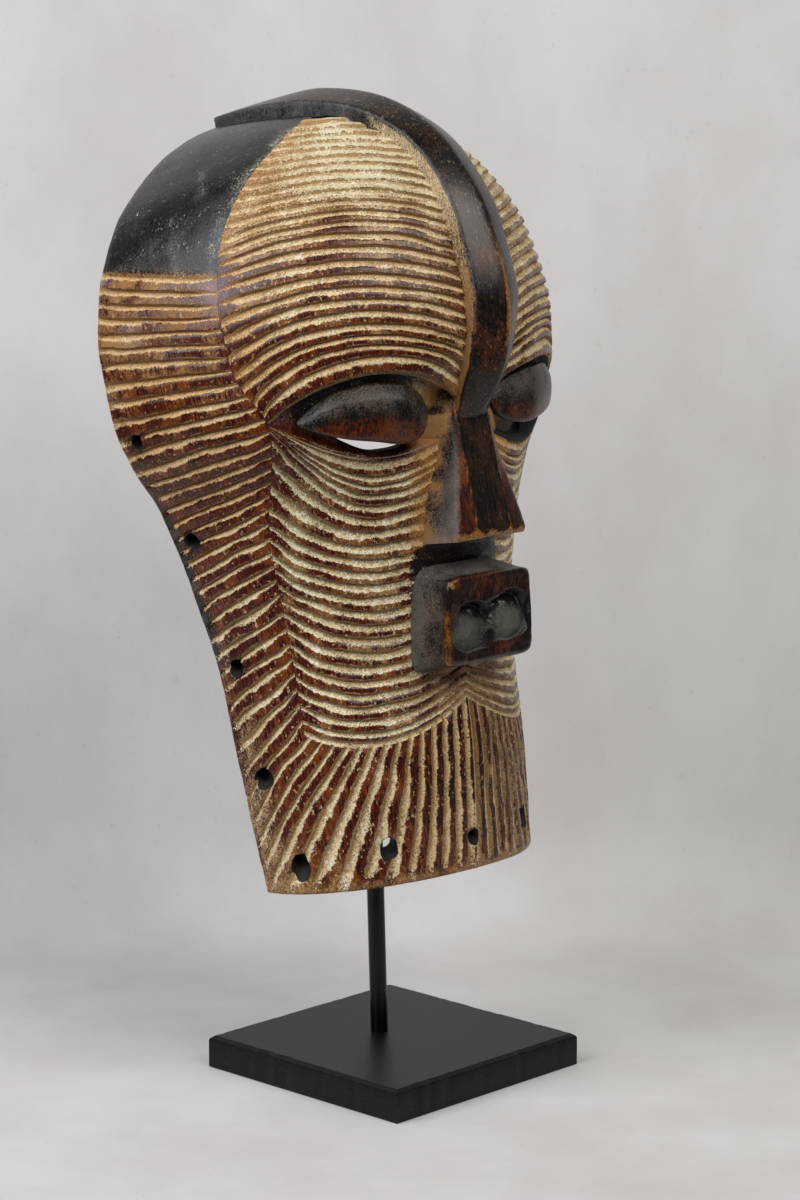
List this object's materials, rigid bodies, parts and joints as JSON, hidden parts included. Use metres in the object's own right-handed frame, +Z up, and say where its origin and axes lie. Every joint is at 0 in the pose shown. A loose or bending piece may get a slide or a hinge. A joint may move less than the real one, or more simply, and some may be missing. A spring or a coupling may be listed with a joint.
{
  "type": "carved wooden mask on a stand",
  "caption": "Carved wooden face mask with grooved skin, tall crest, wedge nose and square mouth, standing on a rod and a square base board.",
  "frame": {"origin": "centre of the base board's underside", "axes": "+Z up, the face looks along -Y, +X is the face's own left"},
  "size_m": [0.2278, 0.1668, 0.4457],
  "materials": {
    "mask": "dark red-brown stained wood with pale kaolin in the grooves and a satin black crown",
    "rod": "satin black",
    "base_board": "black painted, lightly speckled and worn at the edges"
  },
  "bodies": {
    "root": {"mask": "mask", "rod": "rod", "base_board": "base_board"}
  },
  "joints": []
}
